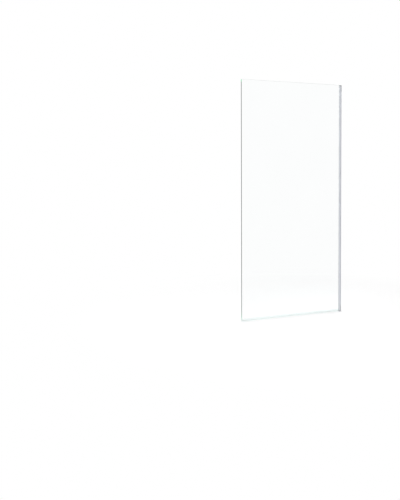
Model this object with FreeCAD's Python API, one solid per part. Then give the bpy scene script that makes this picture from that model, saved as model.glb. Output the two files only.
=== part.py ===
import FreeCAD, Part

import math
import os

# A frameless pivoting bath screen: one toughened glass leaf, held along its wall edge in a slim
# aluminium post that swings on two pins between brackets fixed to the wall.
#
# Frame, in millimetres: the origin is on the pivot axis at the level of the bath rim. +Z is up,
# +X runs along the rim to the wall, and +Y points in over the bath. The leaf is closed along
# the rim, so its glass reaches from the post towards -X. Nothing on it is handed: turned half
# round about Z, the same screen suits a wall at the other end of the bath.

# The screen as it is fitted
SCREEN_WIDTH = 700.0  # wall face to the glass's free edge
SCREEN_HEIGHT = 1400.0  # bath rim to the glass's top edge

# Glass leaf
GLASS_THICKNESS = 6.0
GLASS_ARRIS = 0.5  # bevel ground along every edge
FREE_CORNER_RADIUS = 2.0
CORNER_CLEARANCE = 0.8  # between the glass's cut corner and the bracket that it swings round

# Pivot post, an extrusion with a round back and two ribs that stop the glass
POST_WALL = 1.1
POST_LIP_RADIUS = 0.4
RIB_DEPTH = 0.8  # along the glass
RIB_HEIGHT = 0.8  # in from the post's inner face
GLASS_ENGAGEMENT = 4.3  # width of glass held between the post's walls
GASKET_THICKNESS = 0.5  # on each face of the glass
GASKET_WEB = 0.4  # behind the glass's edge
GASKET_PROUD = 0.3  # past the post's front
BLOCK_HEIGHT = 2.0  # setting block under the glass

# Pivots
PIN_RADIUS = 1.5
RUNNING_CLEARANCE = 0.05  # radial, pin to bearing
BEARING_WALL = 0.75  # between the bore and the glass's gasket
CAP_FLANGE = 1.5
CAP_PLUG = 14.0  # length of the plug inside the post
CAP_FIT = 0.05  # clearance of the plug in the post
CAP_EDGE = 0.3  # bevel round a cap's outer face
WASHER_THICKNESS = 0.5
WASHER_RADIUS = 4.2
WASHER_BORE_CLEARANCE = 0.1
PIVOT_PLAY = 0.3  # lift between the top washer and the top bracket
PIN_TIP_BEVEL = 0.4
PIN_THREAD_RADIUS = 2.0  # where the top pin screws into its bracket
PIN_HEAD_SUNK = 0.4  # top pin's head below the bracket's top
PIN_SOCKET_WIDTH = 2.0  # across the flats of its hexagon socket
PIN_SOCKET_DEPTH = 1.6

# Small screws that hold the caps in the post
CAP_SCREW_RADIUS = 0.8
CAP_SCREW_HEAD_RADIUS = 1.6
CAP_SCREW_LENGTH = 2.7
CAP_SCREW_SETBACK = 0.9  # from the pivot axis towards the glass
CAP_SCREW_SOCKET_WIDTH = 1.3  # across the flats
CAP_SCREW_SOCKET_DEPTH = 0.5

# Wall profile and the strip that closes the gap behind the post
SWING_GAP = 0.3  # between the turning post and whatever faces it
SEAL_HEIGHT = 0.5  # wiping strip, and the recess that holds it
SEAL_EDGE = 0.2  # its thickness at the sides
SEAL_CROWN = 1.6  # width of its flat crown
SEAL_FIT = 0.1  # each side in the recess
PROFILE_BASE = 2.0
PROFILE_LIP = 0.8

# Brackets, each a plate over one end of the post with a leg on the wall
BRACKET_PLATE = 3.0
BRACKET_LEG = 24.0
BRACKET_LAP = 14.0
BRACKET_ROUND = 2.0  # top corner at the wall
BRACKET_EDGE = 0.4
PROFILE_TONGUE = 1.2  # thickness left on the profile under a bracket's lap
PAD_THICKNESS = 1.0  # pad between the bottom bracket and the rim

# Rivets through each lap
RIVET_RADIUS = 1.2
RIVET_HEAD_RADIUS = 1.9
RIVET_INSET = 4.0  # from either end of the lap

# Holes for the wall's screws
SCREW_HOLE_RADIUS = 2.1
SCREW_HEAD_RADIUS = 3.6
FIXING_INSET = 14.0  # from the rim, and from the screen's top
INNER_FIXING_SPACING = 460.0  # between the two holes in the wall profile

# Clear seal pushed on to the glass's bottom edge
SWEEP_WALL = 0.8
SWEEP_BASE = 1.0
SWEEP_GRIP = 10.0  # up each face of the glass
SWEEP_END_GAP = 0.5  # between the seal and the post
FIN_ROOT = 0.8
FIN_TIP = 0.4
FIN_ROOT_OFFSET = 1.4  # from the glass's middle to the fin's inner face
FIN_TIP_OFFSET = 4.2
FIN_BOW = 0.6
FIN_LIFT = 0.4  # above the rim

# Places along X, worked out from the pivot axis outwards
POST_HALF = GLASS_THICKNESS / 2 + GASKET_THICKNESS + POST_WALL
CAVITY_HALF = POST_HALF - POST_WALL
RIB_FRONT = PIN_RADIUS + RUNNING_CLEARANCE + BEARING_WALL
GLASS_EDGE = RIB_FRONT + GASKET_WEB
POST_FRONT = GLASS_EDGE + GLASS_ENGAGEMENT
PROFILE_FRONT = POST_HALF + SWING_GAP
RECESS_FLOOR = PROFILE_FRONT + SEAL_HEIGHT
WALL_FACE = RECESS_FLOOR + PROFILE_BASE
LAP_FACE = WALL_FACE - PROFILE_TONGUE
FREE_EDGE = SCREEN_WIDTH - WALL_FACE

# Levels along Z, worked out from the rim upwards and from the glass's top downwards
BOTTOM_PLATE_TOP = PAD_THICKNESS + BRACKET_PLATE
BOTTOM_WASHER_TOP = BOTTOM_PLATE_TOP + WASHER_THICKNESS
POST_BOTTOM = BOTTOM_WASHER_TOP + CAP_FLANGE
GLASS_BOTTOM = POST_BOTTOM + BLOCK_HEIGHT
TOP_PLATE_UNDERSIDE = SCREEN_HEIGHT - BRACKET_PLATE
TOP_WASHER_TOP = TOP_PLATE_UNDERSIDE - PIVOT_PLAY
TOP_CAP_TOP = TOP_WASHER_TOP - WASHER_THICKNESS
POST_TOP = TOP_CAP_TOP - CAP_FLANGE
BOTTOM_LEG_END = PAD_THICKNESS + BRACKET_LEG
BOTTOM_LAP_END = BOTTOM_LEG_END + BRACKET_LAP
TOP_LEG_END = SCREEN_HEIGHT - BRACKET_LEG
TOP_LAP_END = TOP_LEG_END - BRACKET_LAP
CORNER_CUT = POST_HALF + CORNER_CLEARANCE + BRACKET_PLATE - GLASS_EDGE

CUT_MARGIN = 1.0  # how far a cutting shape runs past the face that it opens
X = FreeCAD.Vector(1, 0, 0)
Y = FreeCAD.Vector(0, 1, 0)
Z = FreeCAD.Vector(0, 0, 1)


def block(x_range, y_range, z_range):
    """A box between two limits on each axis."""
    corner = FreeCAD.Vector(x_range[0], y_range[0], z_range[0])
    sides = [high - low for low, high in (x_range, y_range, z_range)]
    return Part.makeBox(*sides, corner)


def disc(radius, z_range):
    """An upright cylinder on the pivot axis."""
    return Part.makeCylinder(radius, z_range[1] - z_range[0], Z * z_range[0], Z)


def rounded_bar(radius, reach, z_range):
    """A bar with one round end on the pivot axis, reaching to X = reach on the other side."""
    x_range = (min(reach, 0), max(reach, 0))
    bar = block(x_range, (-radius, radius), z_range)
    return bar.fuse(disc(radius, z_range)).removeSplitter()


def countersunk(head_radius, shank_radius, length, face_centre, inwards):
    """A flush countersunk body, 45 degrees at its head, from a face inwards."""
    depth = head_radius - shank_radius
    head = Part.makeCone(head_radius, shank_radius, depth, face_centre, inwards)
    shank = Part.makeCylinder(shank_radius, length, face_centre, inwards)
    return head.fuse(shank).removeSplitter()


def hexagon_socket(width, depth, face_centre, inwards, sideways):
    """A six-sided hole from a face inwards; sideways points at one of its corners."""
    reach = width / 2 / math.cos(math.pi / 6)
    across = inwards.cross(sideways)
    corners = []
    for step in range(7):
        angle = math.pi / 3 * step
        corners.append(face_centre + sideways * reach * math.cos(angle) + across * reach * math.sin(angle))
    return Part.Face(Part.makePolygon(corners)).extrude(inwards * depth)


def edges_at(shape, axis, level):
    """The edges that lie wholly at one level of an axis, given as 'X', 'Y' or 'Z'."""
    low, high = axis + "Min", axis + "Max"
    return [
        edge
        for edge in shape.Edges
        if abs(getattr(edge.BoundBox, low) - level) < 1e-4
        and abs(getattr(edge.BoundBox, high) - level) < 1e-4
    ]


def upright_edges(shape, x_level):
    """The straight edges parallel to Z at one X."""
    return [e for e in edges_at(shape, "X", x_level) if e.BoundBox.YLength < 1e-4]


def glass_panel():
    """Toughened pane with ground arrises, two eased free corners and one corner cut for the bracket."""
    half = GLASS_THICKNESS / 2
    pane = block((-FREE_EDGE, -GLASS_EDGE), (-half, half), (GLASS_BOTTOM, SCREEN_HEIGHT))
    corners = [e for e in edges_at(pane, "X", -FREE_EDGE) if e.BoundBox.ZLength < 1e-4]
    pane = pane.makeFillet(FREE_CORNER_RADIUS, corners)
    top_corner = [e for e in edges_at(pane, "X", -GLASS_EDGE) if e.BoundBox.ZMin > GLASS_BOTTOM + 1]
    top_corner = [e for e in top_corner if e.BoundBox.ZLength < 1e-4]
    pane = pane.makeChamfer(CORNER_CUT, top_corner)
    arrises = edges_at(pane, "Y", -half) + edges_at(pane, "Y", half)
    return pane.makeChamfer(GLASS_ARRIS, arrises)


def cap_screw_body(z):
    """One cap screw, or its hole, from the post's face over the bath."""
    face = FreeCAD.Vector(-CAP_SCREW_SETBACK, POST_HALF, z)
    return countersunk(CAP_SCREW_HEAD_RADIUS, CAP_SCREW_RADIUS, CAP_SCREW_LENGTH, face, -Y)


def cap_screw_levels():
    """Half way along the plug of each cap."""
    return (POST_BOTTOM + CAP_PLUG / 2, POST_TOP - CAP_PLUG / 2)


def pivot_post():
    """Extrusion: a round-backed channel, with a rib inside each wall."""
    z_range = (POST_BOTTOM, POST_TOP)
    outer = rounded_bar(POST_HALF, -POST_FRONT, z_range)
    outer = outer.makeFillet(POST_LIP_RADIUS, upright_edges(outer, -POST_FRONT))
    post = outer.cut(rounded_bar(CAVITY_HALF, -POST_FRONT - CUT_MARGIN, z_range))
    for side in (-1, 1):
        inner, root = side * (CAVITY_HALF - RIB_HEIGHT), side * (CAVITY_HALF + POST_WALL / 2)
        rib = block((-RIB_FRONT, RIB_DEPTH - RIB_FRONT), sorted((inner, root)), z_range)
        post = post.fuse(rib)
    post = post.removeSplitter()
    for z in cap_screw_levels():
        post = post.cut(cap_screw_body(z))
    return post


def glazing_gasket():
    """Channel of soft strip round the glass's edge, from the setting block to the post's top."""
    z_range = (GLASS_BOTTOM, POST_TOP)
    half = GLASS_THICKNESS / 2
    front = -POST_FRONT - GASKET_PROUD
    gasket = block((front, -RIB_FRONT), (-CAVITY_HALF, CAVITY_HALF), z_range)
    return gasket.cut(block((front, -GLASS_EDGE), (-half, half), z_range))


def setting_block():
    """Pad that the glass stands on inside the post."""
    return block((-POST_FRONT, -RIB_FRONT), (-CAVITY_HALF, CAVITY_HALF), (POST_BOTTOM, GLASS_BOTTOM))


def cap_plug(z_range):
    """The part of a cap inside the post: a round back, and a tongue between the ribs."""
    back = disc(CAVITY_HALF - CAP_FIT, z_range)
    behind_ribs = block((RIB_DEPTH - RIB_FRONT + CAP_FIT, POST_HALF), (-POST_HALF, POST_HALF), z_range)
    tongue_half = CAVITY_HALF - RIB_HEIGHT - CAP_FIT
    tongue = block((-RIB_FRONT, 0), (-tongue_half, tongue_half), z_range)
    return back.common(behind_ribs).fuse(tongue).removeSplitter()


def pivot_cap(flange_range, plug_range, outer_level, screw_level, glass_slot):
    """Moulded end cap that is also the post's bearing, bored for the pin and for its screw."""
    flange = rounded_bar(POST_HALF, -POST_FRONT, flange_range)
    flange = flange.makeChamfer(CAP_EDGE, edges_at(flange, "Z", outer_level))
    if glass_slot:
        slot_x = (-POST_FRONT - CUT_MARGIN, -RIB_FRONT)
        flange = flange.cut(block(slot_x, (-CAVITY_HALF, CAVITY_HALF), flange_range))
    cap = flange.fuse(cap_plug(plug_range)).removeSplitter()
    bore_range = (min(flange_range + plug_range), max(flange_range + plug_range))
    cap = cap.cut(disc(PIN_RADIUS + RUNNING_CLEARANCE, bore_range))
    return cap.cut(cap_screw_body(screw_level))


def bottom_pivot_cap():
    """Closes the post's foot and turns on the bottom pin."""
    flange = (BOTTOM_WASHER_TOP, POST_BOTTOM)
    plug = (POST_BOTTOM, POST_BOTTOM + CAP_PLUG)
    return pivot_cap(flange, plug, BOTTOM_WASHER_TOP, cap_screw_levels()[0], False)


def top_pivot_cap():
    """Straddles the glass at the post's head and turns on the top pin."""
    flange = (POST_TOP, TOP_CAP_TOP)
    plug = (POST_TOP - CAP_PLUG, POST_TOP)
    return pivot_cap(flange, plug, TOP_CAP_TOP, cap_screw_levels()[1], True)


def cap_screws():
    """Two countersunk screws, each with a small hexagon socket."""
    screws = []
    for z in cap_screw_levels():
        face = FreeCAD.Vector(-CAP_SCREW_SETBACK, POST_HALF, z)
        socket = hexagon_socket(CAP_SCREW_SOCKET_WIDTH, CAP_SCREW_SOCKET_DEPTH, face, -Y, X)
        screws.append(cap_screw_body(z).cut(socket))
    return Part.makeCompound(screws)


def bottom_sweep():
    """Clear push-on seal: a channel on the glass's bottom edge with two fins that hang to the rim."""
    inner = GLASS_THICKNESS / 2
    outer = inner + SWEEP_WALL
    x_range = (-FREE_EDGE, -POST_FRONT - SWEEP_END_GAP)
    floor = GLASS_BOTTOM - SWEEP_BASE
    channel = block(x_range, (-outer, outer), (floor, GLASS_BOTTOM + SWEEP_GRIP))
    channel = channel.cut(block(x_range, (-inner, inner), (GLASS_BOTTOM, GLASS_BOTTOM + SWEEP_GRIP)))
    for side in (-1, 1):
        channel = channel.fuse(sweep_fin(side, x_range, floor))
    return channel.removeSplitter()


def sweep_fin(side, x_range, floor):
    """One fin, between two arcs bowed outwards, from the channel's floor down to the rim."""
    middle = (floor + FIN_LIFT) / 2

    def point(y, z):
        return FreeCAD.Vector(x_range[0], side * y, z)

    def bowed(y_root, y_tip):
        way = point((y_root + y_tip) / 2 + FIN_BOW, middle)
        return Part.Arc(point(y_root, floor), way, point(y_tip, FIN_LIFT)).toShape()

    inner_root, outer_root = FIN_ROOT_OFFSET, FIN_ROOT_OFFSET + FIN_ROOT
    inner_tip, outer_tip = FIN_TIP_OFFSET - FIN_TIP, FIN_TIP_OFFSET
    edges = [
        bowed(inner_root, inner_tip),
        Part.LineSegment(point(inner_tip, FIN_LIFT), point(outer_tip, FIN_LIFT)).toShape(),
        bowed(outer_root, outer_tip),
        Part.LineSegment(point(outer_root, floor), point(inner_root, floor)).toShape(),
    ]
    outline = Part.Wire(Part.__sortEdges__(edges))
    return Part.Face(outline).extrude(X * (x_range[1] - x_range[0]))


def rivet_levels(lap_end, leg_end):
    """Heights of a lap's two rivets."""
    low, high = sorted((lap_end, leg_end))
    return (low + RIVET_INSET, high - RIVET_INSET)


def rivet_body(z):
    """One rivet, or its hole, with a flush head on each face of the lap."""
    front = FreeCAD.Vector(PROFILE_FRONT, 0, z)
    back = FreeCAD.Vector(WALL_FACE, 0, z)
    through = WALL_FACE - PROFILE_FRONT
    near = countersunk(RIVET_HEAD_RADIUS, RIVET_RADIUS, through, front, X)
    far = countersunk(RIVET_HEAD_RADIUS, RIVET_RADIUS, through, back, -X)
    return near.fuse(far).removeSplitter()


def bracket_rivets():
    """Two rivets through the lap at each end of the wall profile."""
    levels = rivet_levels(BOTTOM_LAP_END, BOTTOM_LEG_END) + rivet_levels(TOP_LAP_END, TOP_LEG_END)
    return Part.makeCompound([rivet_body(z) for z in levels])


def wall_screw_hole(face_x, z):
    """Countersunk hole for one of the wall's screws, from a front face through to the wall."""
    face = FreeCAD.Vector(face_x, 0, z)
    return countersunk(SCREW_HEAD_RADIUS, SCREW_HOLE_RADIUS, WALL_FACE - face_x, face, X)


def wall_profile():
    """Extrusion on the wall: a flat base with two low lips, thinned at both ends to a tongue."""
    z_range = (BOTTOM_LEG_END, TOP_LEG_END)
    profile = block((PROFILE_FRONT, WALL_FACE), (-POST_HALF, POST_HALF), z_range)
    recess_half = POST_HALF - PROFILE_LIP
    profile = profile.cut(block((PROFILE_FRONT, RECESS_FLOOR), (-recess_half, recess_half), z_range))
    for lap in ((BOTTOM_LEG_END, BOTTOM_LAP_END), (TOP_LAP_END, TOP_LEG_END)):
        profile = profile.cut(block((PROFILE_FRONT, LAP_FACE), (-POST_HALF, POST_HALF), lap))
    levels = rivet_levels(BOTTOM_LAP_END, BOTTOM_LEG_END) + rivet_levels(TOP_LAP_END, TOP_LEG_END)
    for z in levels:
        profile = profile.cut(rivet_body(z))
    for side in (-1, 1):
        z = SCREEN_HEIGHT / 2 + side * INNER_FIXING_SPACING / 2
        profile = profile.cut(wall_screw_hole(RECESS_FLOOR, z))
    return profile


def hinge_seal():
    """Low ridged strip in the wall profile's recess, just clear of the post's back."""
    half = POST_HALF - PROFILE_LIP - SEAL_FIT
    section = [
        (RECESS_FLOOR, half),
        (RECESS_FLOOR - SEAL_EDGE, half),
        (PROFILE_FRONT, SEAL_CROWN / 2),
    ]
    section += [(x, -y) for x, y in reversed(section)]
    section.append(section[0])
    outline = Part.makePolygon([FreeCAD.Vector(x, y, BOTTOM_LAP_END) for x, y in section])
    return Part.Face(outline).extrude(Z * (TOP_LAP_END - BOTTOM_LAP_END))


def bracket(plate_range, leg_range, lap_range, fixing_level):
    """Plate over the pivot axis with a leg on the wall, and a lap over the wall profile's tongue."""
    plate = rounded_bar(POST_HALF, WALL_FACE, plate_range)
    leg = block((PROFILE_FRONT, WALL_FACE), (-POST_HALF, POST_HALF), leg_range)
    lap = block((PROFILE_FRONT, LAP_FACE), (-POST_HALF, POST_HALF), lap_range)
    body = plate.fuse(leg).fuse(lap).removeSplitter()
    for z in rivet_levels(*lap_range):
        body = body.cut(rivet_body(z))
    return body.cut(wall_screw_hole(PROFILE_FRONT, fixing_level))


def bottom_bracket():
    """Stands on the rim's pad and carries the leaf's weight."""
    plate = (PAD_THICKNESS, BOTTOM_PLATE_TOP)
    body = bracket(
        plate, (PAD_THICKNESS, BOTTOM_LEG_END), (BOTTOM_LEG_END, BOTTOM_LAP_END), FIXING_INSET
    )
    return body.cut(disc(PIN_RADIUS, plate))


def top_bracket():
    """Level with the glass's top, rounded down to the wall and tapped for the top pin."""
    plate = (TOP_PLATE_UNDERSIDE, SCREEN_HEIGHT)
    body = bracket(
        plate,
        (TOP_LEG_END, SCREEN_HEIGHT),
        (TOP_LAP_END, TOP_LEG_END),
        SCREEN_HEIGHT - FIXING_INSET,
    )
    rim = edges_at(body, "Z", SCREEN_HEIGHT)
    body = body.makeFillet(BRACKET_ROUND, [e for e in rim if e.BoundBox.XMin > WALL_FACE - 1e-4])
    flat_end = WALL_FACE - BRACKET_ROUND
    rim = edges_at(body, "Z", SCREEN_HEIGHT)
    body = body.makeChamfer(BRACKET_EDGE, [e for e in rim if e.BoundBox.XMin < flat_end - 1e-4])
    return body.cut(disc(PIN_THREAD_RADIUS, plate))


def bottom_pivot_pin():
    """Plain pin pressed into the bottom bracket."""
    top = POST_BOTTOM + CAP_PLUG
    pin = disc(PIN_RADIUS, (PAD_THICKNESS, top))
    return pin.makeChamfer(PIN_TIP_BEVEL, edges_at(pin, "Z", top))


def top_pivot_pin():
    """Shouldered screw, put in from above once the leaf stands on the bottom pin."""
    head_top = SCREEN_HEIGHT - PIN_HEAD_SUNK
    tip = POST_TOP - CAP_PLUG
    pin = disc(PIN_RADIUS, (tip, TOP_PLATE_UNDERSIDE))
    pin = pin.makeChamfer(PIN_TIP_BEVEL, edges_at(pin, "Z", tip))
    pin = pin.fuse(disc(PIN_THREAD_RADIUS, (TOP_PLATE_UNDERSIDE, head_top))).removeSplitter()
    return pin.cut(hexagon_socket(PIN_SOCKET_WIDTH, PIN_SOCKET_DEPTH, Z * head_top, -Z, X))


def thrust_washer(z_range):
    """Low-friction ring round a pin."""
    return disc(WASHER_RADIUS, z_range).cut(disc(PIN_RADIUS + WASHER_BORE_CLEARANCE, z_range))


def foot_pad():
    """Soft pad of the bottom bracket's outline, which rests on the rim."""
    return rounded_bar(POST_HALF, WALL_FACE, (0, PAD_THICKNESS))


def main():
    parts = {
        "glass_panel": glass_panel(),
        "pivot_post": pivot_post(),
        "glazing_gasket": glazing_gasket(),
        "setting_block": setting_block(),
        "bottom_pivot_cap": bottom_pivot_cap(),
        "top_pivot_cap": top_pivot_cap(),
        "cap_screws": cap_screws(),
        "bottom_sweep": bottom_sweep(),
        "wall_profile": wall_profile(),
        "hinge_seal": hinge_seal(),
        "bottom_bracket": bottom_bracket(),
        "top_bracket": top_bracket(),
        "bracket_rivets": bracket_rivets(),
        "bottom_pivot_pin": bottom_pivot_pin(),
        "top_pivot_pin": top_pivot_pin(),
        "bottom_thrust_washer": thrust_washer((BOTTOM_PLATE_TOP, BOTTOM_WASHER_TOP)),
        "top_thrust_washer": thrust_washer((TOP_CAP_TOP, TOP_WASHER_TOP)),
        "foot_pad": foot_pad(),
    }
    os.makedirs("parts", exist_ok=True)
    for name, shape in parts.items():
        shape.exportStep("parts/" + name + ".step")
        box = shape.BoundBox
        print(name, shape.isValid(), len(shape.Solids), round(shape.Volume, 2), box)


main()
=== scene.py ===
"""Looks of a pivoting glass bath screen.

Refined glass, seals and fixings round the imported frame, and a plain studio. Lengths are in metres.
"""

import math

import bpy
import numpy as np
from bpy.props import FloatProperty, FloatVectorProperty, IntProperty, PointerProperty
from bpy.types import Operator, Panel, PropertyGroup
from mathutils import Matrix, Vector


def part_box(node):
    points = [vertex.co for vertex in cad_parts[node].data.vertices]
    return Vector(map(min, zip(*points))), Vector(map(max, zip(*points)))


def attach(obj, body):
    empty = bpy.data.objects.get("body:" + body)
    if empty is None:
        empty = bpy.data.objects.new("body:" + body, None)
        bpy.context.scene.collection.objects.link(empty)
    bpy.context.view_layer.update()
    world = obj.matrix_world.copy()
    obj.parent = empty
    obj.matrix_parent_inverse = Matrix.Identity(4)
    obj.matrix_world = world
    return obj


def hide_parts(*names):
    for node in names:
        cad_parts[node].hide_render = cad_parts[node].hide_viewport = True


bl_info = {
    "name": "Bath screen looks",
    "version": (1, 0, 0),
    "blender": (4, 5, 0),
    "location": "3D View > Sidebar > Bath screen",
    "description": "Builds the visible pieces, finishes and studio of a pivoting glass bath screen",
    "category": "Object",
}

MM = 0.001
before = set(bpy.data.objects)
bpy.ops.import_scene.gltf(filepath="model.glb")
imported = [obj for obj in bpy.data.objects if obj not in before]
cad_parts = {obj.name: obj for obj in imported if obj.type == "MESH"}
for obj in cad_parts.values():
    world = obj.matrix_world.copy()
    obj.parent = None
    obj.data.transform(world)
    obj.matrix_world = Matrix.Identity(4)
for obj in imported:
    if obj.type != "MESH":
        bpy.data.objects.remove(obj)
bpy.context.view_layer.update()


# Settings -----------------------------------------------------------------------------------

def colour(name, description, default):
    """A colour setting, in Blender's linear values from 0 to 1."""
    return FloatVectorProperty(name=name, description=description, subtype="COLOR", size=3,
                               min=0.0, max=1.0, default=default)


def length(name, description, default):
    """A length setting in metres."""
    return FloatProperty(name=name, description=description, subtype="DISTANCE", unit="LENGTH",
                         min=0.0, default=default)


class PaneSettings(PropertyGroup):
    """Sizes and colours of the glass."""
    arris: length("Arris", "Width of the bevel ground along every edge", 0.5 * MM)
    corner_radius: length("Free corner radius", "Radius of the two corners of the free edge",
                          2.0 * MM)
    corner_cut: length("Corner cut", "Size of the top corner cut that clears the bracket", 5.7 * MM)
    face_tint: colour("Face tint", "What the glass leaves of the light that crosses it",
                      (0.973, 0.982, 0.982))
    edge_colour: colour("Free edge", "Polished upright edge", (0.016, 0.030, 0.030))
    # Painted light: the lit tip and lit foot colours paint a glow onto the free edge, standing in
    # for light carried inside the glass to its two ends.
    tip_painted_glow: colour("Lit tip", "Upright edge at its upper end", (0.035, 0.64, 0.29))
    tip_painted_glow_lower: colour("Lit tip, lower", "Upright edge 13 mm below its upper end",
                        (0.004, 0.50, 0.17))
    foot_painted_glow: colour("Lit foot", "Lowest 9 mm of the upright edge", (0.56, 0.76, 0.65))
    foot_painted_glow_middle: colour("Lit foot, middle", "Upright edge 20 mm above its lower end",
                       (0.15, 0.42, 0.30))
    foot_painted_glow_upper: colour("Lit foot, upper", "Upright edge 32 mm above its lower end",
                        (0.11, 0.25, 0.16))
    level_colour: colour("Level edges", "Edges other than the free one", (0.90, 0.95, 0.93))


class MetalSettings(PropertyGroup):
    """Colours of the metal parts, and the spacing of their drawing lines."""
    aluminium: colour("Aluminium", "Satin silver anodised extrusions", (0.65, 0.665, 0.71))
    bracket: colour("Brackets", "Satin stainless brackets", (0.47, 0.48, 0.50))
    stainless: colour("Pins and screws", "Turned stainless steel", (0.50, 0.51, 0.52))
    line_pitch: length("Drawing lines", "Spacing of the fine lines along the extrusions", 0.16 * MM)


class SoftSettings(PropertyGroup):
    """Sizes and colours of the seals and plastic parts."""
    bead_radius: length("Gasket bead", "Radius of the gasket's two rounded lips", 0.24 * MM)
    slip: length("Slip", "Gap between clear seal and glass; the gasket's is half that", 0.02 * MM)
    gasket: colour("Gasket", "Soft channel round the glass in the post", (0.70, 0.72, 0.74))
    wiper: colour("Wiping strip", "Pale strip in the gap behind the post", (0.90, 0.91, 0.92))
    clear: colour("Clear seal", "Sweep along the foot of the glass", (0.955, 0.975, 0.975))
    cut: colour("Clear seal's ends", "Sawn ends of the sweep", (0.72, 0.77, 0.77))
    cap: colour("Caps", "Moulded pivot caps", (0.26, 0.27, 0.29))
    ring: colour("Rings", "Low-friction rings", (0.74, 0.74, 0.71))
    pad: colour("Foot pad", "Pad under the bottom bracket", (0.45, 0.46, 0.47))
    block: colour("Setting block", "Firm block under the glass", (0.022, 0.022, 0.024))
    segments: IntProperty(name="Segments", description="Steps round a turned part", min=24, max=192,
                          default=72)


class StageSettings(PropertyGroup):
    """Floor, light and camera."""
    floor: colour("Floor", "Plain pale floor", (0.80, 0.80, 0.80))
    key: FloatProperty(name="Lamp", description="Large soft lamp, high on the front left",
                       subtype="POWER", min=0, default=90.0)
    near: length("Floor near", "How far from the screen the floor stays as it is", 0.7)
    far: length("Floor far", "Where the floor has run out into the white surround", 1.7)
    sky: FloatProperty(name="Sky", description="Even light from all round", min=0, default=0.72)
    lens: FloatProperty(name="Lens", description="Focal length in millimetres", min=1,
                        default=49.235)
    turn: FloatProperty(name="Turn", description="Camera's heading from straight ahead",
                        subtype="ANGLE", unit="ROTATION", default=math.radians(-25.228))
    tilt: FloatProperty(name="Tilt", description="How far the camera looks down",
                        subtype="ANGLE", unit="ROTATION", default=math.radians(2.010))
    roll: FloatProperty(name="Roll", description="How far the camera leans to its right",
                        subtype="ANGLE", unit="ROTATION", default=math.radians(0.230))
    place: FloatVectorProperty(name="Place", description="Where the camera stands",
                               subtype="TRANSLATION", unit="LENGTH", size=3,
                               default=(-2.5843, -3.4569, 0.8578))
    rise: FloatProperty(name="Rise", description="Shift of the view, downwards where negative",
                        default=-0.104)


# Surfaces -----------------------------------------------------------------------------------

SHARP_ANGLE = math.radians(32.0)  # edges that turn by more than this stay sharp


def put_mesh(name, points, quads, caps, finishes, face_slots=None):
    """A mesh object from an array of points, one of quads, and the polygons that close its ends.

    face_slots gives the place in finishes of each face in turn; a face past its end has the first.
    """
    mesh = bpy.data.meshes.new(name)
    mesh.from_pydata(points.tolist(), [], quads.tolist() + [cap.tolist() for cap in caps])
    slots = np.zeros(len(mesh.polygons), np.int32)
    if face_slots is not None:
        slots[:len(face_slots)] = face_slots
    for finish in finishes:
        mesh.materials.append(finish)
    mesh.polygons.foreach_set("material_index", slots)
    mesh.polygons.foreach_set("use_smooth", np.ones(len(mesh.polygons), bool))
    mesh.update()
    mesh.set_sharp_from_angle(angle=SHARP_ANGLE)
    piece = bpy.data.objects.new(name, mesh)
    bpy.context.scene.collection.objects.link(piece)
    return piece


def loft_faces(rings, around, closed=False):
    """Quads between neighbouring rings of equal count, and the two polygons that close the ends.

    Point j of ring i has the index i times around, plus j. Rings that close on themselves have no
    ends.
    """
    last = rings if closed else rings - 1
    i, j = np.meshgrid(np.arange(last), np.arange(around), indexing="ij")
    here = i * around
    there = (i + 1) % rings * around
    turn = (j + 1) % around
    quads = np.stack([here + j, here + turn, there + turn, there + j], -1).reshape(-1, 4)
    if closed:
        return quads, []
    return quads, [np.arange(around)[::-1], np.arange(around) + (rings - 1) * around]


def carried(section, stations, axis):
    """A closed section carried along one axis.

    Point = station on that axis, and the section's two values on the next two. A section that runs
    clockwise, as seen from the axis's far end, is reversed, so that the surface faces outwards.
    """
    x, y = section[:, 0], section[:, 1]
    if np.sum(x * np.roll(y, -1) - np.roll(x, -1) * y) < 0:
        section = section[::-1]
    points = np.zeros((len(stations), len(section), 3))
    points[:, :, axis] = np.asarray(stations)[:, None]
    points[:, :, (axis + 1) % 3] = section[None, :, 0]
    points[:, :, (axis + 2) % 3] = section[None, :, 1]
    return points


def turned(radius, height, centre, along, around):
    """A turned surface: centre + radius (u cos t + v sin t) + height w, with t once round.

    w is the direction along, and u and v are square to it. radius is an array over the profile's
    steps, or over steps and angle for a surface that isn't round.
    """
    w = np.asarray(along, float)
    u = np.array([0.0, 0.0, 1.0]) if abs(w[2]) < 0.5 else np.array([1.0, 0.0, 0.0])
    v = np.cross(w, u)
    t = np.arange(around) * 2 * math.pi / around
    radius = np.broadcast_to(np.reshape(radius, (len(height), -1)), (len(height), around))
    ring = np.cos(t)[:, None] * u + np.sin(t)[:, None] * v
    rise = np.asarray(height)[:, None, None] * w
    return np.asarray(centre) + radius[:, :, None] * ring[None] + rise


def arc(centre, radius, start, end, steps):
    """Points of an arc: centre + radius (cos a, sin a), with a from start to end in degrees."""
    a = np.radians(np.linspace(start, end, steps))
    return np.stack([centre[0] + radius * np.cos(a), centre[1] + radius * np.sin(a)], -1)


def bow(start, middle, end, steps):
    """Points of the circle through three points: its centre is equally far from all of them."""
    a, b, c = (np.asarray(p, float) for p in (start, middle, end))
    centre = np.linalg.solve(2 * np.array([b - a, c - a]), np.array([b @ b - a @ a, c @ c - a @ a]))
    angles = np.unwrap([math.atan2(*(p - centre)[::-1]) for p in (a, b, c)])
    return arc(centre, np.linalg.norm(a - centre), *np.degrees(angles[[0, 2]]), steps)


def mirrored(half):
    """A half section and its mirror image in the first axis's line, joined into one outline."""
    return np.concatenate([half, half[::-1] * (1, -1)])


def joined(parts):
    """Several (points, quads, caps) made into one, with their indices moved on."""
    points, quads, caps, first = [], [], [], 0
    for part_points, part_quads, part_caps in parts:
        points.append(part_points)
        quads.append(part_quads + first)
        caps += [cap + first for cap in part_caps]
        first += len(part_points)
    return np.concatenate(points), np.concatenate(quads), caps


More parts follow.
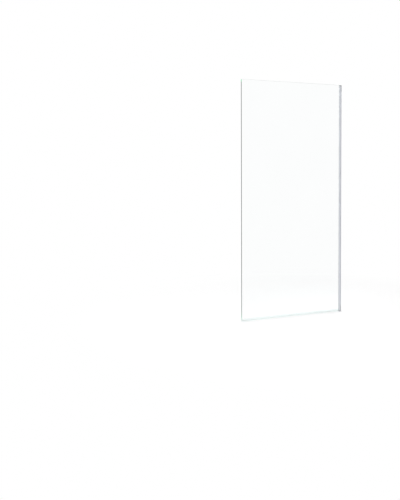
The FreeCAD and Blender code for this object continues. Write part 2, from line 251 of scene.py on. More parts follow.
def lathe_part(radius, height, centre, along, around, closed=False):
    """Points, quads and end polygons of one turned part."""
    rings = turned(radius, height, centre, along, around)
    quads, caps = loft_faces(rings.shape[0], around, closed)
    return rings.reshape(-1, 3), quads, caps


# Finishes -----------------------------------------------------------------------------------

NOISE_ROUGHNESS = 0.5
NOISE_LOW, NOISE_HIGH = 0.3, 0.7  # most of the noise lies between these
RELIEF_STRENGTH = 0.3
CLEAR_CHANGE = 0.004  # how much the tint of clear pieces wanders
EVEN_DETAIL = 2.0  # noise detail where the surface is nearly even
EDGE_SPECULAR = 0.12  # low, to keep the edge dark
ARRIS_COLOUR = (0.80, 0.87, 0.84)  # ground bevels along the edges other than the free one


def new_finish(name):
    """A node material with a Principled surface, its tree and that surface."""
    finish = bpy.data.materials.new(name)
    finish.use_nodes = True
    tree = finish.node_tree
    return finish, tree, tree.nodes["Principled BSDF"]


def object_noise(tree, scale, detail=4.0):
    """Noise on object coordinates, drawn out by a different scale along each axis."""
    place = tree.nodes.new("ShaderNodeTexCoord")
    stretch = tree.nodes.new("ShaderNodeMapping")
    stretch.inputs["Scale"].default_value = scale
    noise = tree.nodes.new("ShaderNodeTexNoise")
    noise.inputs["Scale"].default_value = 1.0
    noise.inputs["Detail"].default_value = detail
    noise.inputs["Roughness"].default_value = NOISE_ROUGHNESS
    tree.links.new(place.outputs["Object"], stretch.inputs["Vector"])
    tree.links.new(stretch.outputs["Vector"], noise.inputs["Vector"])
    return noise.outputs["Fac"]


def spread(tree, value, low, high):
    """The middle part of a noise stretched between two numbers."""
    ramp = tree.nodes.new("ShaderNodeMapRange")
    ramp.inputs["From Min"].default_value = NOISE_LOW
    ramp.inputs["From Max"].default_value = NOISE_HIGH
    ramp.inputs["To Min"].default_value = low
    ramp.inputs["To Max"].default_value = high
    tree.links.new(value, ramp.inputs["Value"])
    return ramp.outputs["Result"]


def shades(tree, value, base, change):
    """A colour that wanders a little below and above its base."""
    mix = tree.nodes.new("ShaderNodeMix")
    mix.data_type = "RGBA"
    mix.inputs["A"].default_value = (*(max(c * (1 - change), 0) for c in base), 1)
    mix.inputs["B"].default_value = (*(min(c * (1 + change), 1) for c in base), 1)
    tree.links.new(spread(tree, value, 0, 1), mix.inputs["Factor"])
    return mix.outputs["Result"]


def relief(tree, value, depth, surface):
    """Fine relief of a given depth in metres."""
    bump = tree.nodes.new("ShaderNodeBump")
    bump.inputs["Distance"].default_value = depth
    bump.inputs["Strength"].default_value = RELIEF_STRENGTH
    tree.links.new(value, bump.inputs["Height"])
    tree.links.new(bump.outputs["Normal"], surface.inputs["Normal"])


def solid_finish(name, base, grain, change, rough, depth=0.0, metal=0.0, ior_level=0.5):
    """A closed surface with grain in its colour, its roughness and, given a depth, its relief."""
    finish, tree, surface = new_finish(name)
    value = object_noise(tree, grain)
    tree.links.new(shades(tree, value, base, change), surface.inputs["Base Color"])
    tree.links.new(spread(tree, value, *rough), surface.inputs["Roughness"])
    surface.inputs["Metallic"].default_value = metal
    surface.inputs["Specular IOR Level"].default_value = ior_level
    if depth:
        relief(tree, value, depth, surface)
    return finish


def clear_finish(name, tint, roughness, ior, grain):
    """Clear glass or plastic that the lamp shines through: its tint dims the shadow rays."""
    finish, tree, surface = new_finish(name)
    value = object_noise(tree, grain, EVEN_DETAIL)
    tree.links.new(shades(tree, value, tint, CLEAR_CHANGE), surface.inputs["Base Color"])
    surface.inputs["Roughness"].default_value = roughness
    surface.inputs["IOR"].default_value = ior
    surface.inputs["Transmission Weight"].default_value = 1.0
    rays = tree.nodes.new("ShaderNodeLightPath")
    open_way = tree.nodes.new("ShaderNodeBsdfTransparent")
    open_way.inputs["Color"].default_value = (*tint, 1)
    either = tree.nodes.new("ShaderNodeMixShader")
    tree.links.new(rays.outputs["Is Shadow Ray"], either.inputs["Fac"])
    tree.links.new(surface.outputs["BSDF"], either.inputs[1])
    tree.links.new(open_way.outputs["BSDF"], either.inputs[2])
    tree.links.new(either.outputs["Shader"], tree.nodes["Material Output"].inputs["Surface"])
    return finish


def upright_edge_painted_glow_finish(settings, low, high):
    """Polished free edge: dark, with a painted green glow in its top 22 mm and a paler painted green
    glow in its lowest 60 mm, standing in for light carried inside the glass to the edge's ends.
    """
    finish, tree, surface = new_finish("glass_upright_edge_painted_glow")
    place = tree.nodes.new("ShaderNodeTexCoord")
    split = tree.nodes.new("ShaderNodeSeparateXYZ")
    level = tree.nodes.new("ShaderNodeMapRange")
    level.inputs["From Min"].default_value = low
    level.inputs["From Max"].default_value = high
    ramp = tree.nodes.new("ShaderNodeValToRGB")
    tall = high - low
    # Painted light, by height: the foot and tip stops paint the glow of light carried inside the
    # glass, and the middle keeps the edge's own dark tone.
    above_foot = [
        (0 * MM, settings.foot_painted_glow),
        (9 * MM, settings.foot_painted_glow),
        (20 * MM, settings.foot_painted_glow_middle),
        (32 * MM, settings.foot_painted_glow_upper),
        (60 * MM, settings.edge_colour),
    ]
    below_tip = [
        (22 * MM, settings.edge_colour),
        (13 * MM, settings.tip_painted_glow_lower),
        (0 * MM, settings.tip_painted_glow),
    ]
    stops = [(up / tall, shade) for up, shade in above_foot]
    stops += [(1 - down / tall, shade) for down, shade in below_tip]
    ramp.color_ramp.interpolation = "EASE"
    for where, _ in stops[1:-1]:
        ramp.color_ramp.elements.new(where)
    for element, (where, shade) in zip(ramp.color_ramp.elements, stops):
        element.position = where
        element.color = (*shade, 1)
    tree.links.new(place.outputs["Object"], split.inputs["Vector"])
    tree.links.new(split.outputs["Z"], level.inputs["Value"])
    tree.links.new(level.outputs["Result"], ramp.inputs["Fac"])
    tree.links.new(ramp.outputs["Color"], surface.inputs["Base Color"])
    polish = spread(tree, object_noise(tree, scale=(300, 300, 40)), low=0.10, high=0.17)
    tree.links.new(polish, surface.inputs["Roughness"])
    surface.inputs["Specular IOR Level"].default_value = EDGE_SPECULAR
    return finish


def make_finishes(scene):
    """Every finish of the screen, by the name of what carries it."""
    pane, metal, soft = scene.screen_pane, scene.screen_metal, scene.screen_soft
    lines = 1 / metal.line_pitch
    low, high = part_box("glass_panel")
    return {
        "face": clear_finish("glass_face", tuple(pane.face_tint), roughness=0.0, ior=1.5,
                             grain=(3, 3, 3)),
        "upright": upright_edge_painted_glow_finish(pane, low.z, high.z),
        "level": solid_finish("glass_level_edge", pane.level_colour, grain=(60, 60, 60),
                              change=0.04, rough=(0.12, 0.2), ior_level=0.3),
        "arris": solid_finish("glass_ground_arris", ARRIS_COLOUR, grain=(900, 900, 900),
                              change=0.08, rough=(0.45, 0.6), depth=0.01 * MM),
        "aluminium": solid_finish("satin_anodised_aluminium", metal.aluminium,
                                  grain=(lines, lines, 6), change=0.035, rough=(0.30, 0.40),
                                  depth=0.004 * MM, metal=1.0),
        "bracket": solid_finish("satin_bracket_metal", metal.bracket, grain=(1500, 1500, 1500),
                                change=0.05, rough=(0.36, 0.46), depth=0.006 * MM, metal=1.0),
        "stainless": solid_finish("turned_stainless", metal.stainless, grain=(400, 400, 5000),
                                  change=0.06, rough=(0.22, 0.34), depth=0.004 * MM, metal=1.0),
        "faced": solid_finish("faced_stainless", metal.stainless, grain=(1200, 1200, 1200),
                              change=0.06, rough=(0.24, 0.36), depth=0.004 * MM, metal=1.0),
        "cap": solid_finish("moulded_grey_acetal", soft.cap, grain=(1100, 1100, 1100), change=0.06,
                            rough=(0.42, 0.54), depth=0.012 * MM),
        "ring": solid_finish("white_acetal", soft.ring, grain=(700, 700, 700), change=0.03,
                             rough=(0.34, 0.44), depth=0.004 * MM),
        "gasket": solid_finish("soft_grey_gasket", soft.gasket, grain=(1600, 1600, 12), change=0.05,
                               rough=(0.48, 0.6), depth=0.006 * MM),
        "wiper": solid_finish("pale_wiping_strip", soft.wiper, grain=(1600, 1600, 12), change=0.03,
                              rough=(0.48, 0.6), depth=0.006 * MM),
        "pad": solid_finish("soft_foot_pad", soft.pad, grain=(1500, 1500, 1500), change=0.10,
                            rough=(0.66, 0.8), depth=0.02 * MM),
        "block": solid_finish("firm_black_rubber", soft.block, grain=(1200, 1200, 1200), change=0.2,
                              rough=(0.6, 0.75), depth=0.02 * MM),
        "cut": solid_finish("sawn_seal_end", soft.cut, grain=(2500, 2500, 2500), change=0.06,
                            rough=(0.5, 0.7), depth=0.01 * MM),
        "clear": clear_finish("clear_flexible_seal", tuple(soft.clear), roughness=0.06, ior=1.45,
                              grain=(8, 1500, 1500)),
    }


FINISHES = {}


def finish_of(name):
    """A finish made once for the scene and shared by the pieces that have it."""
    if not FINISHES:
        FINISHES.update(make_finishes(bpy.context.scene))
    return FINISHES[name]


def hand_over(piece, body, slot, *nodes):
    """The piece rides on a body and stands for its CAD nodes, which are hidden. slot is not used."""
    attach(piece, body)
    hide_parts(*nodes)


# Glass --------------------------------------------------------------------------------------

PANE_FINISHES = ("face", "upright", "level", "arris")
UPRIGHT, LEVEL, ARRIS = 1, 2, 3  # their places in PANE_FINISHES
PANE_CORNER_STEPS = 15


def pane_outline(low, high, radius, cut, inset):
    """Outline of the pane in Z and X, moved inwards by inset.

    Straight sides, an arc of the given radius at each free corner, and a 45 degree cut at the top
    corner of the pivot side. The arcs keep their centres and lose the inset from their radius, and
    the cut's ends move by inset (sqrt 2 - 1).
    """
    shift = inset * (math.sqrt(2) - 1)
    top_arc = arc((high.z - radius, low.x + radius), radius - inset, 0, -90, PANE_CORNER_STEPS)
    foot_arc = arc((low.z + radius, low.x + radius), radius - inset, -90, -180, PANE_CORNER_STEPS)
    pivot_side = np.array([
        (low.z + inset, high.x - inset),
        (high.z - cut - shift, high.x - inset),
        (high.z - inset, high.x - cut - shift),
    ])
    return np.concatenate([pivot_side, top_arc, foot_arc])[::-1]


class SCREEN_OT_glass_pane(Operator):
    """Build the clear pane with ground arrises"""
    bl_idname = "bath_screen.glass_pane"
    bl_label = "Glass pane"

    def execute(self, context):
        # Four outlines across the thickness: the outer two are drawn in by the arris.
        made = context.scene.screen_pane
        low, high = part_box("glass_panel")
        layers = (
            (low.y, made.arris),
            (low.y + made.arris, 0),
            (high.y - made.arris, 0),
            (high.y, made.arris),
        )
        rings = []
        for y, inset in layers:
            outline = pane_outline(low, high, made.corner_radius, made.corner_cut, inset)
            rings.append(carried(outline, [y], 1)[0])
        points = np.array(rings)
        quads, caps = loft_faces(*points.shape[:2])
        middle = (points[1] + np.roll(points[1], -1, 0)) / 2
        free = middle[:, 0] < low.x + made.corner_radius
        bevel_slots = np.where(free, UPRIGHT, ARRIS)
        edge_slots = np.where(free, UPRIGHT, LEVEL)
        slots = np.concatenate([bevel_slots, edge_slots, bevel_slots])
        finishes = [finish_of(name) for name in PANE_FINISHES]
        piece = put_mesh("glass_pane", points.reshape(-1, 3), quads, caps, finishes, slots)
        hand_over(piece, "leaf", "glass", "glass_panel")
        return {"FINISHED"}


# Seals --------------------------------------------------------------------------------------

SWEEP_WALL = 0.8 * MM  # from the glass's face to the outside of the channel
SWEEP_BASE = 1.0 * MM  # from the glass's foot to the underside of the channel
SWEEP_CORNER = 0.4 * MM  # radius of the channel's lower corners
SWEEP_STATIONS = 25
FIN_ROOT = 1.4 * MM  # from the middle plane to a fin's inner side, at its root
FIN_ROOT_THICK = 0.8 * MM
FIN_TIP = 4.2 * MM  # from the middle plane to a fin's outer side, at its tip
FIN_TIP_THICK = 0.4 * MM
FIN_BOW = 0.6 * MM  # how far a fin's sides stand out from straight at half height
FIN_STEPS = 17
LIP_STEPS = 13
ROUND_STEPS = 9

GASKET_CORNER = 0.3 * MM  # radius of the two corners deep in the post
GASKET_CORNER_STEPS = 7
BEAD_STEPS = 15
STRIP_STATIONS = 41  # rings along the gasket and along the wiping strip

WIPER_EDGE = 0.2 * MM  # thickness along the two long edges
WIPER_CROWN = 0.3 * MM  # how much thicker the middle is
WIPER_POWER = 1.5  # of the cosine that the dome follows
WIPER_STEPS = 33


class SCREEN_OT_rim_sweep(Operator):
    """Build the clear push-on seal with its two curved fins"""
    bl_idname = "bath_screen.rim_sweep"
    bl_label = "Rim sweep"

    def execute(self, context):
        # Half the section: inside of the channel, lip, side, lower corner, then out along the fin,
        # round its tip and back. A fin's sides are arcs through root, bowed middle and tip.
        slip = context.scene.screen_soft.slip
        low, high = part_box("bottom_sweep")
        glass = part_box("glass_panel")[0]
        inner = slip - glass.y
        outer = SWEEP_WALL - glass.y
        lip = (outer - inner) / 2
        base = glass.z - SWEEP_BASE
        halfway = (base + low.z) / 2
        end_round = FIN_TIP_THICK / 2
        tip = low.z + end_round
        root_out = FIN_ROOT + FIN_ROOT_THICK
        tip_in = FIN_TIP - FIN_TIP_THICK
        bulge_out = (root_out + FIN_TIP) / 2 + FIN_BOW
        bulge_in = (FIN_ROOT + tip_in) / 2 + FIN_BOW
        half = np.concatenate([
            [(inner, glass.z - slip)],
            arc((inner + lip, high.z - lip), lip, 180, 0, LIP_STEPS),
            arc((outer - SWEEP_CORNER, base + SWEEP_CORNER), SWEEP_CORNER, 0, -90, ROUND_STEPS),
            bow((root_out, base), (bulge_out, halfway), (FIN_TIP, tip), FIN_STEPS),
            arc((FIN_TIP - end_round, tip), end_round, 0, -180, ROUND_STEPS)[1:],
            bow((tip_in, tip), (bulge_in, halfway), (FIN_ROOT, base), FIN_STEPS)[1:],
        ])
        outline = np.concatenate([half, (half * (-1, 1))[::-1]])
        points = carried(outline, np.linspace(low.x, high.x, SWEEP_STATIONS), 0)
        quads, caps = loft_faces(*points.shape[:2])
        slots = np.concatenate([np.zeros(len(quads)), np.ones(len(caps))])
        finishes = [finish_of("clear"), finish_of("cut")]
        piece = put_mesh("rim_sweep", points.reshape(-1, 3), quads, caps, finishes, slots)
        hand_over(piece, "leaf", "clear_pvc", "bottom_sweep")
        return {"FINISHED"}


class SCREEN_OT_glass_gasket(Operator):
    """Build the gasket round the glass in the post, with its two rounded lips"""
    bl_idname = "bath_screen.glass_gasket"
    bl_label = "Glass gasket"

    def execute(self, context):
        # Half the section: along the glass's face, round the lip, and back to the deep corner.
        soft = context.scene.screen_soft
        low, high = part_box("glazing_gasket")
        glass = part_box("glass_panel")[1]
        inner, bead = glass.y + soft.slip / 2, soft.bead_radius
        deep = (high.x - GASKET_CORNER, high.y - GASKET_CORNER)
        half = np.concatenate([
            [(glass.x + soft.slip / 2, inner)],
            arc((low.x + bead, inner + bead), bead, 270, 90, BEAD_STEPS),
            arc(deep, GASKET_CORNER, 90, 0, GASKET_CORNER_STEPS),
        ])
        points = carried(mirrored(half), np.linspace(low.z, high.z, STRIP_STATIONS), 2)
        quads, caps = loft_faces(*points.shape[:2])
        piece = put_mesh("glass_gasket", points.reshape(-1, 3), quads, caps, [finish_of("gasket")])
        hand_over(piece, "leaf", "soft_strip", "glazing_gasket")
        return {"FINISHED"}


class SCREEN_OT_wiper_strip(Operator):
    """Build the domed wiping strip in the wall profile's recess"""
    bl_idname = "bath_screen.wiper_strip"
    bl_label = "Wiper strip"

    def execute(self, context):
        # Thickness = edge + crown times a power of the cosine, which is 1 in the middle and 0 at
        # each edge.
        low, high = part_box("hinge_seal")
        y = np.linspace(high.y, low.y, WIPER_STEPS)
        crown = WIPER_CROWN * np.cos(y / high.y * math.pi / 2) ** WIPER_POWER
        front = np.stack([high.x - WIPER_EDGE - crown, y], -1)
        outline = np.concatenate([front, [(high.x, low.y), (high.x, high.y)]])
        points = carried(outline, np.linspace(low.z, high.z, STRIP_STATIONS), 2)
        quads, caps = loft_faces(*points.shape[:2])
        piece = put_mesh("wiper_strip", points.reshape(-1, 3), quads, caps, [finish_of("wiper")])
        hand_over(piece, "wall_side", "soft_strip", "hinge_seal")
        return {"FINISHED"}


# Fixings ------------------------------------------------------------------------------------

RIVET_HEAD = 1.9 * MM  # radius, as is the next
RIVET_SHANK = 1.2 * MM
RIVET_INNER = (35.0 * MM, 1366.0 * MM)  # heights of the two rivets nearer the middle
RIVET_EASE = 0.1 * MM  # rounding of a head's rim
RIVET_TAPER = 0.03 * MM  # how much the front head has narrowed where its rim ends
RIVET_BACK = 0.3 * MM  # radius of the polygon that closes the back
# Radius and depth of the mandrel dimple, from its floor to its mouth.
DIMPLE = ((0.3 * MM, 0.16 * MM), (0.5 * MM, 0.1 * MM), (0.6 * MM, 0))

MOUTH_FLARE = 1.06  # a socket's mouth, as a share of its width
MOUTH_DEPTH = 0.06 * MM
DRILL_RIM = 0.36  # radius of the drilled cone in a socket's floor, as a share of the socket's width
DRILL_END = 0.12  # radius at the cone's bottom, likewise
DRILL_DEPTH = 0.12  # depth of the cone, likewise

CAP_SCREW_HEAD = 1.6 * MM  # radius, as is the next
CAP_SCREW_SHANK = 0.8 * MM
CAP_SCREW_EASE = 0.08 * MM  # rounding of the head's rim
CAP_SCREW_RIM = 0.02 * MM  # how far the rim stays inside the head's radius
CAP_SCREW_POINT = 0.25 * MM  # length of the point
CAP_SCREW_POINT_SHARE = 0.7  # the point's end, as a share of the shank's radius
CAP_SCREW_SOCKET = (1.3 * MM, 0.5 * MM)  # width and depth

PIN_RADIUS = 1.5 * MM
PIN_BEVEL = 0.4 * MM
PIN_SHOULDER = 16.3 * MM  # from the tip to where the threaded head begins
PIN_HEAD_EASE = 0.15 * MM
PIN_SOCKET = (2.0 * MM, 1.6 * MM)  # width and depth

RING_BORE = 1.6 * MM  # radius
RING_EASE = 0.12 * MM
RING_STEPS = 6

PAD_SWELL = 0.22 * MM  # how far the sides are drawn in at the top and the bottom
PAD_CORNER = 0.6 * MM
PAD_LEVELS = 9
PAD_NOSE_STEPS = 49
PAD_CORNER_STEPS = 7


class SCREEN_OT_lap_rivets(Operator):
    """Build the four flush rivets of the bracket laps, with eased rims and mandrel dimples"""
    bl_idname = "bath_screen.lap_rivets"
    bl_label = "Lap rivets"

    def execute(self, context):
        # Radius and height, from the dimple's floor over the front head and the shank to the back.
        around = context.scene.screen_soft.segments
        low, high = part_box("bracket_rivets")
        thick = high.x - low.x
        sink = RIVET_HEAD - RIVET_SHANK
        profile = np.array([
            *DIMPLE,
            (RIVET_HEAD - RIVET_EASE, 0),
            (RIVET_HEAD, RIVET_EASE / 2),
            (RIVET_HEAD - RIVET_TAPER, RIVET_EASE),
            (RIVET_SHANK, sink),
            (RIVET_SHANK, thick - sink),
            (RIVET_HEAD, thick - RIVET_EASE / 2),
            (RIVET_HEAD - RIVET_EASE, thick),
            (RIVET_BACK, thick),
        ])
        levels = (low.z + RIVET_HEAD, *RIVET_INNER, high.z - RIVET_HEAD)
        parts = [lathe_part(profile[:, 0], profile[:, 1], (low.x, 0, z), (1, 0, 0), around)
                 for z in levels]
        piece = put_mesh("lap_rivets", *joined(parts), [finish_of("faced")])
        hand_over(piece, "wall_side", "stainless", "bracket_rivets")
        return {"FINISHED"}


def socket_radius(width, around):
    """Distance from the middle of a hexagon of that width to its side, over the angle.

    It is half the width, over the cosine of the angle from the nearest flat's middle.
    """
    t = np.arange(around) * 2 * math.pi / around
    return width / 2 / np.cos(np.mod(t, math.pi / 3) - math.pi / 6)


def socket_screw(steps, socket, top, centre, along, around):
    """A turned screw whose head has a hexagon socket, from its steps of radius and height.

    Round rings up to the head, six-sided ones down to the socket's floor, and two round ones there,
    the rim and the bottom of the shallow cone that the drill leaves.
    """
    width, depth = socket
    round_part = np.array(steps)
    hexagon = socket_radius(width, around)
    rim = np.full(around, width * DRILL_RIM)
    bottom = np.full(around, width * DRILL_END)
    floor = top - depth
    radius = np.concatenate([
        np.repeat(round_part[:, :1], around, 1),
        [hexagon * MOUTH_FLARE, hexagon, hexagon, rim, bottom],
    ])
    height = np.concatenate([
        round_part[:, 1],
        [top, top - MOUTH_DEPTH, floor, floor, floor - width * DRILL_DEPTH],
    ])
    return lathe_part(radius, height, centre, along, around)


class SCREEN_OT_socket_screws(Operator):
    """Build the cap screws and the top pivot screw, with eased heads and hexagon sockets"""
    bl_idname = "bath_screen.socket_screws"
    bl_label = "Socket screws"

    def execute(self, context):
        around = context.scene.screen_soft.segments
        low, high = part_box("cap_screws")
        long = high.y - low.y
        x = (low.x + high.x) / 2
        steps = [
            (CAP_SCREW_SHANK * CAP_SCREW_POINT_SHARE, 0),
            (CAP_SCREW_SHANK, CAP_SCREW_POINT),
            (CAP_SCREW_SHANK, long - CAP_SCREW_HEAD + CAP_SCREW_SHANK),
            (CAP_SCREW_HEAD - CAP_SCREW_RIM, long - CAP_SCREW_EASE),
            (CAP_SCREW_HEAD - CAP_SCREW_EASE, long),
        ]
        levels = (low.z + CAP_SCREW_HEAD, high.z - CAP_SCREW_HEAD)
        parts = [socket_screw(steps, CAP_SCREW_SOCKET, long, (x, low.y, z), (0, 1, 0), around)
                 for z in levels]
        piece = put_mesh("cap_screw_set", *joined(parts), [finish_of("faced")])
        hand_over(piece, "leaf", "stainless", "cap_screws")

        low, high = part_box("top_pivot_pin")
        tall = high.z - low.z
        thread = high.x
        steps = [
            (PIN_RADIUS - PIN_BEVEL, 0),
            (PIN_RADIUS, PIN_BEVEL),
            (PIN_RADIUS, PIN_SHOULDER),
            (thread, PIN_SHOULDER),
            (thread, tall - PIN_HEAD_EASE),
            (thread - PIN_HEAD_EASE, tall),
        ]
        part = socket_screw(steps, PIN_SOCKET, tall, (0, 0, low.z), (0, 0, 1), around)
        piece = put_mesh("top_pivot_screw", *joined([part]), [finish_of("stainless")])
        hand_over(piece, "wall_side", "stainless", "top_pivot_pin")
        return {"FINISHED"}


class SCREEN_OT_thrust_rings(Operator):
    """Build the two low-friction rings with rounded edges"""
    bl_idname = "bath_screen.thrust_rings"
    bl_label = "Thrust rings"

    def execute(self, context):
        # A rectangle with four rounded corners, from bore to outer radius, turned about the pins.
        around = context.scene.screen_soft.segments
        ease = RING_EASE
        parts = []
        for node in ("bottom_thrust_washer", "top_thrust_washer"):
            low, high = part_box(node)
            outer = high.x
            tall = high.z - low.z
            section = np.concatenate([
                arc((outer - ease, ease), ease, -90, 0, RING_STEPS),
                arc((outer - ease, tall - ease), ease, 0, 90, RING_STEPS),
                arc((RING_BORE + ease, tall - ease), ease, 90, 180, RING_STEPS),
                arc((RING_BORE + ease, ease), ease, 180, 270, RING_STEPS),
            ])
            centre = (0, 0, low.z)
            parts.append(lathe_part(section[:, 0], section[:, 1], centre, (0, 0, 1), around,
                                    closed=True))
        piece = put_mesh("thrust_rings", *joined(parts), [finish_of("ring")])
        hand_over(piece, "wall_side", "white_acetal", "bottom_thrust_washer", "top_thrust_washer")
        return {"FINISHED"}


class SCREEN_OT_rim_pad(Operator):
    """Build the soft pad under the bottom bracket, its sides slightly swollen"""
    bl_idname = "bath_screen.rim_pad"
    bl_label = "Rim pad"

    def execute(self, context):
        # Inset = swell times the square of (1 - sine), the sine running through half a turn from
        # bottom to top, so the sides are drawn in at both ends and full at mid height.
        low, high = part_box("foot_pad")
        level = np.linspace(0, 1, PAD_LEVELS)
        inset = PAD_SWELL * (1 - np.sin(level * math.pi)) ** 2
        corner_x = high.x - PAD_CORNER
        rings = []
        for height, draw in zip(low.z + level * (high.z - low.z), inset):
            nose = arc((0, 0), high.y - draw, 90, 270, PAD_NOSE_STEPS)
            corner = PAD_CORNER - draw
            front = arc((corner_x, low.y + PAD_CORNER), corner, 270, 360, PAD_CORNER_STEPS)
            back = arc((corner_x, high.y - PAD_CORNER), corner, 0, 90, PAD_CORNER_STEPS)
            rings.append(carried(np.concatenate([nose, front, back]), [height], 2)[0])
        points = np.array(rings)
        quads, caps = loft_faces(*points.shape[:2])
        piece = put_mesh("rim_pad", points.reshape(-1, 3), quads, caps, [finish_of("pad")])
        hand_over(piece, "wall_side", "foot_pad", "foot_pad")
        return {"FINISHED"}


class SCREEN_OT_frame_finishes(Operator):
    """Give the extrusions, brackets, caps, pin and setting block their finishes"""
    bl_idname = "bath_screen.frame_finishes"
    bl_label = "Frame finishes"

    def execute(self, context):
        worn = {
            "aluminium": ("pivot_post", "wall_profile"),
            "bracket": ("bottom_bracket", "top_bracket"),
            "cap": ("bottom_pivot_cap", "top_pivot_cap"),
            "stainless": ("bottom_pivot_pin",),
            "block": ("setting_block",),
        }
        for name, nodes in worn.items():
            for node in nodes:
                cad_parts[node].material_slots[0].material = finish_of(name)
        return {"FINISHED"}


# Stage --------------------------------------------------------------------------------------

WHITE = (1, 1, 1, 1)
FLOOR_HALF = 30.0  # half the side of the square floor
FLOOR_ROUGHNESS = 0.9
FLOOR_CHANGE = 0.003  # how much the floor's colour wanders
FLOOR_LIFT = 0.29  # glow that brings the lit floor up to white where it is seen as background
LAMP_PLACE = (-3.4, -2.4, 3.6)
LAMP_AIM = (-0.35, 0.0, 0.7)  # near the middle of the pane
LAMP_SIZE = 2.0
SENSOR_WIDTH = 36.0  # millimetres


def seen_as_background(tree):
    """1 for a ray from the camera, through glass or off a shiny surface, and 0 for the rest."""
    rays = tree.nodes.new("ShaderNodeLightPath")
    first = tree.nodes.new("ShaderNodeMath")
    second = tree.nodes.new("ShaderNodeMath")
    first.operation = second.operation = "MAXIMUM"
    tree.links.new(rays.outputs["Is Camera Ray"], first.inputs[0])
    tree.links.new(rays.outputs["Is Glossy Ray"], first.inputs[1])
    tree.links.new(first.outputs["Value"], second.inputs[0])
    tree.links.new(rays.outputs["Is Transmission Ray"], second.inputs[1])
    return second.outputs["Value"]


def floor_finish(base, near, far):
    """Pale floor that keeps shadows near the screen and runs out into the white surround.

    It is the floor's own colour up to near, and the surround's white from far on.
    """
    finish, tree, surface = new_finish("plain_floor")
    surface.inputs["Roughness"].default_value = FLOOR_ROUGHNESS
    surface.inputs["Specular IOR Level"].default_value = 0.0
    grain = object_noise(tree, scale=(2, 2, 2), detail=EVEN_DETAIL)
    tree.links.new(shades(tree, grain, base, FLOOR_CHANGE), surface.inputs["Base Color"])
    glow = tree.nodes.new("ShaderNodeEmission")
    glow.inputs["Color"].default_value = WHITE
    seen = seen_as_background(tree)
    lift = tree.nodes.new("ShaderNodeMath")
    lift.operation = "MULTIPLY"
    lift.inputs[1].default_value = FLOOR_LIFT
    tree.links.new(seen, lift.inputs[0])
    tree.links.new(lift.outputs["Value"], glow.inputs["Strength"])
    total = tree.nodes.new("ShaderNodeAddShader")
    tree.links.new(surface.outputs["BSDF"], total.inputs[0])
    tree.links.new(glow.outputs["Emission"], total.inputs[1])

    place = tree.nodes.new("ShaderNodeTexCoord")
    away = tree.nodes.new("ShaderNodeVectorMath")
    away.operation = "LENGTH"
    tree.links.new(place.outputs["Object"], away.inputs[0])
    reach = tree.nodes.new("ShaderNodeMapRange")
    reach.interpolation_type = "SMOOTHSTEP"
    reach.inputs["From Min"].default_value = near
    reach.inputs["From Max"].default_value = far
    tree.links.new(away.outputs["Value"], reach.inputs["Value"])
    both = tree.nodes.new("ShaderNodeMath")
    both.operation = "MULTIPLY"
    tree.links.new(reach.outputs["Result"], both.inputs[0])
    tree.links.new(seen, both.inputs[1])
    surround = tree.nodes.new("ShaderNodeEmission")
    surround.inputs["Color"].default_value = WHITE
    surround.inputs["Strength"].default_value = 1.0
    blend = tree.nodes.new("ShaderNodeMixShader")
    tree.links.new(both.outputs["Value"], blend.inputs["Fac"])
    tree.links.new(total.outputs["Shader"], blend.inputs[1])
    tree.links.new(surround.outputs["Emission"], blend.inputs[2])
    tree.links.new(blend.outputs["Shader"], tree.nodes["Material Output"].inputs["Surface"])
    return finish


def soft_lamp(name, place, target, size, power):
    """A large square lamp turned towards a point.

    It isn't seen itself, either directly or through the glass.
    """
    lamp = bpy.data.lights.new(name, "AREA")
    lamp.shape = "SQUARE"
    lamp.size = size
    lamp.energy = power
    holder = bpy.data.objects.new(name, lamp)
    holder.location = place
    away = np.asarray(place, float) - np.asarray(target, float)
    flat = math.hypot(away[0], away[1])
    holder.rotation_euler = (math.atan2(flat, away[2]), 0.0, math.atan2(away[0], -away[1]))
    holder.visible_camera = holder.visible_transmission = False
    bpy.context.scene.collection.objects.link(holder)


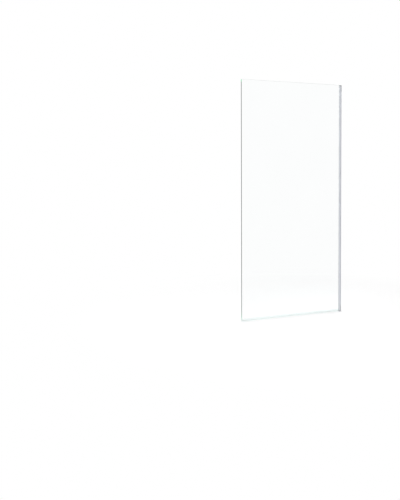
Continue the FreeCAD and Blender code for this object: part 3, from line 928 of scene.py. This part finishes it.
class SCREEN_OT_stage(Operator):
    """Set the floor, the lamp, the white surround and the camera"""
    bl_idname = "bath_screen.stage"
    bl_label = "Stage"

    def execute(self, context):
        scene = context.scene
        made = scene.screen_stage
        half = FLOOR_HALF
        corners = [(-half, -half, 0), (half, -half, 0), (half, half, 0), (-half, half, 0)]
        mesh = bpy.data.meshes.new("floor")
        mesh.from_pydata(corners, [], [(0, 1, 2, 3)])
        mesh.materials.append(floor_finish(tuple(made.floor), made.near, made.far))
        floor = bpy.data.objects.new("floor", mesh)
        scene.collection.objects.link(floor)

        world = bpy.data.worlds.new("white_surround")
        scene.world = world
        world.use_nodes = True
        tree = world.node_tree
        strength = tree.nodes.new("ShaderNodeMapRange")
        strength.inputs["To Min"].default_value = made.sky
        strength.inputs["To Max"].default_value = 1.0
        tree.nodes["Background"].inputs["Color"].default_value = WHITE
        tree.links.new(seen_as_background(tree), strength.inputs["Value"])
        tree.links.new(strength.outputs["Result"], tree.nodes["Background"].inputs["Strength"])

        soft_lamp("key_lamp", LAMP_PLACE, LAMP_AIM, LAMP_SIZE, made.key)

        lens = bpy.data.cameras.new("camera")
        lens.lens = made.lens
        lens.sensor_width = SENSOR_WIDTH
        lens.shift_y = made.rise
        camera = bpy.data.objects.new("camera", lens)
        camera.location = made.place
        camera.rotation_euler = (math.pi / 2 - made.tilt, made.roll, made.turn)
        scene.collection.objects.link(camera)
        scene.camera = camera
        scene.view_settings.view_transform = "Standard"
        return {"FINISHED"}


class SCREEN_PT_looks(Panel):
    """Lists the operators and the settings"""
    bl_idname = "SCREEN_PT_looks"
    bl_label = "Bath screen"
    bl_space_type = "VIEW_3D"
    bl_region_type = "UI"
    bl_category = "Bath screen"

    def draw(self, context):
        column = self.layout.column()
        for operator in OPERATORS:
            column.operator(operator.bl_idname)
        for group in SETTINGS:
            settings = getattr(context.scene, group)
            for name in settings.bl_rna.properties.keys():
                if name not in ("rna_type", "name"):
                    column.prop(settings, name)


SETTINGS = {
    "screen_pane": PaneSettings,
    "screen_metal": MetalSettings,
    "screen_soft": SoftSettings,
    "screen_stage": StageSettings,
}
OPERATORS = (
    SCREEN_OT_glass_pane,
    SCREEN_OT_rim_sweep,
    SCREEN_OT_glass_gasket,
    SCREEN_OT_wiper_strip,
    SCREEN_OT_lap_rivets,
    SCREEN_OT_socket_screws,
    SCREEN_OT_thrust_rings,
    SCREEN_OT_rim_pad,
    SCREEN_OT_frame_finishes,
    SCREEN_OT_stage,
)
CLASSES = (*SETTINGS.values(), *OPERATORS, SCREEN_PT_looks)


def register():
    """Register the settings, the operators and the panel."""
    for cls in CLASSES:
        bpy.utils.register_class(cls)
    for name, group in SETTINGS.items():
        setattr(bpy.types.Scene, name, PointerProperty(type=group))


def unregister():
    """Take everything back out, in the opposite order."""
    for name in SETTINGS:
        delattr(bpy.types.Scene, name)
    for cls in reversed(CLASSES):
        bpy.utils.unregister_class(cls)


def main():
    """Build every piece and the stage."""
    register()
    bpy.ops.bath_screen.glass_pane()
    bpy.ops.bath_screen.rim_sweep()
    bpy.ops.bath_screen.glass_gasket()
    bpy.ops.bath_screen.wiper_strip()
    bpy.ops.bath_screen.lap_rivets()
    bpy.ops.bath_screen.socket_screws()
    bpy.ops.bath_screen.thrust_rings()
    bpy.ops.bath_screen.rim_pad()
    bpy.ops.bath_screen.frame_finishes()
    bpy.ops.bath_screen.stage()


if __name__ == "__main__":
    main()
